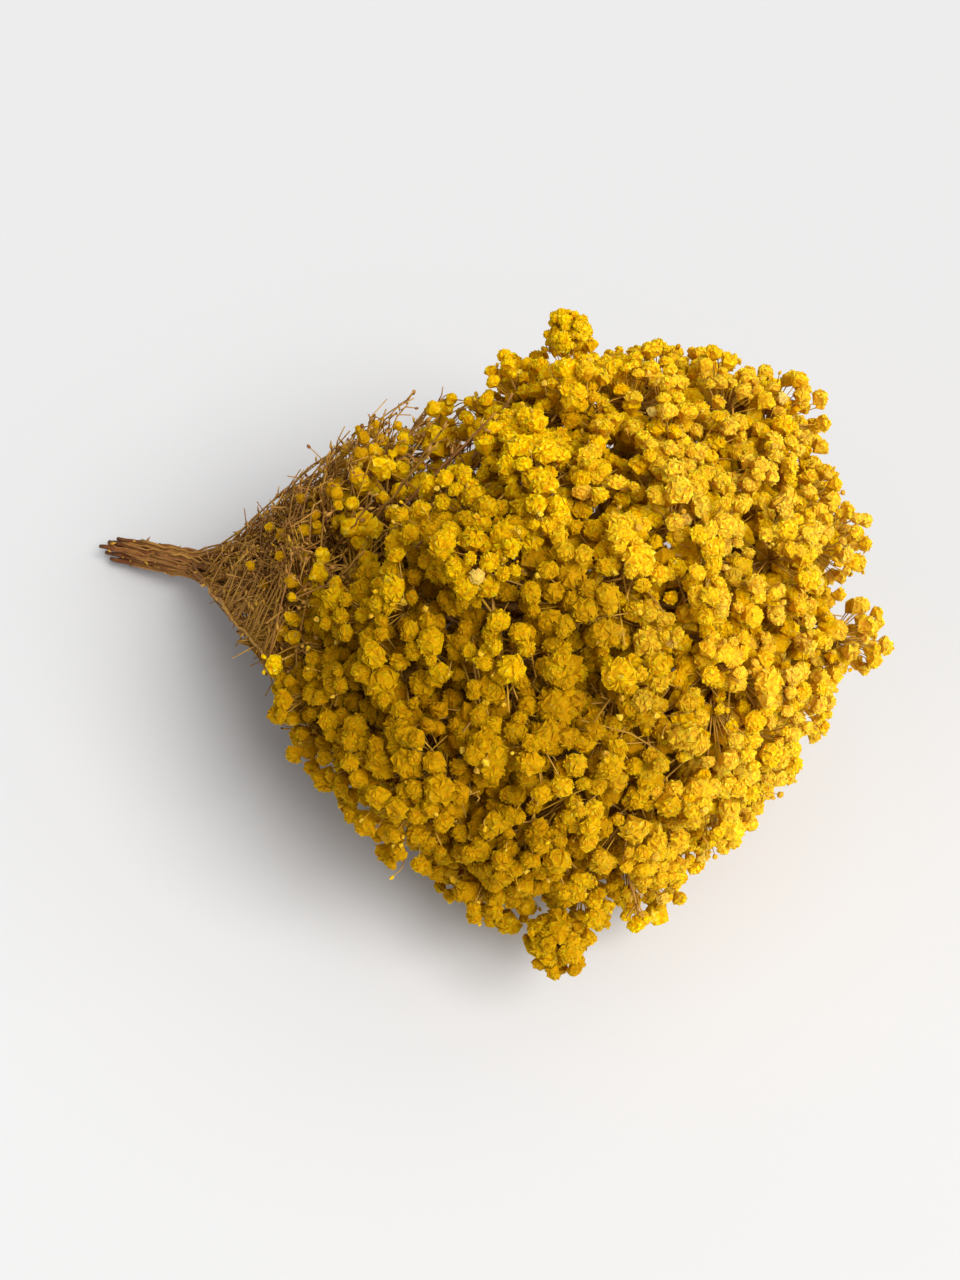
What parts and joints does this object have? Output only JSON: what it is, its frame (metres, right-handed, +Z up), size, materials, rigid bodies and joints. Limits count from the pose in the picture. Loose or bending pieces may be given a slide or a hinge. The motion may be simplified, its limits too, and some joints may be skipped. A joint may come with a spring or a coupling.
{
  "type": "dried flower bunch",
  "caption": "Round bunch of dried gypsophila lying on its side: thin forked stems run from a narrow neck into a dense crown of small crumpled golden-yellow double flowers.",
  "frame": {"origin": "on the surface that the bunch lies on, below the middle of the whole bunch", "axes": "+X from the cut stem ends to the front of the crown, +Y to the side of the crown that is far in the picture, +Z up from the surface"},
  "size_m": [0.3143, 0.225, 0.1586],
  "materials": {
    "flowers": "matt dyed golden-yellow dried petals",
    "stems": "matt dried brown stems"
  },
  "bodies": {
    "root": {"flowers_01": "flowers", "flowers_02": "flowers", "flowers_03": "flowers", "flowers_04": "flowers", "flowers_05": "flowers", "flowers_06": "flowers", "flowers_07": "flowers", "flowers_08": "flowers", "flowers_09": "flowers", "flowers_10": "flowers", "flowers_11": "flowers", "flowers_12": "flowers", "flowers_13": "flowers", "flowers_14": "flowers", "flowers_15": "flowers", "flowers_16": "flowers", "flowers_17": "flowers", "flowers_18": "flowers", "flowers_19": "flowers", "flowers_20": "flowers", "flowers_21": "flowers", "flowers_22": "flowers", "flowers_23": "flowers", "flowers_24": "flowers", "flowers_25": "flowers", "flowers_26": "flowers", "flowers_27": "flowers", "flowers_28": "flowers", "flowers_29": "flowers", "flowers_30": "flowers", "flowers_31": "flowers", "flowers_32": "flowers", "flowers_33": "flowers", "flowers_34": "flowers", "flowers_35": "flowers", "flowers_36": "flowers", "flowers_37": "flowers", "flowers_38": "flowers", "flowers_39": "flowers", "flowers_40": "flowers", "flowers_41": "flowers", "flowers_42": "flowers", "flowers_43": "flowers", "flowers_44": "flowers", "flowers_45": "flowers", "flowers_46": "flowers", "stem_01": "stems", "stem_02": "stems", "stem_03": "stems", "stem_04": "stems", "stem_05": "stems", "stem_06": "stems", "stem_07": "stems", "stem_08": "stems", "stem_09": "stems", "stem_10": "stems", "stem_11": "stems", "stem_12": "stems", "stem_13": "stems", "stem_14": "stems"}
  },
  "joints": []
}
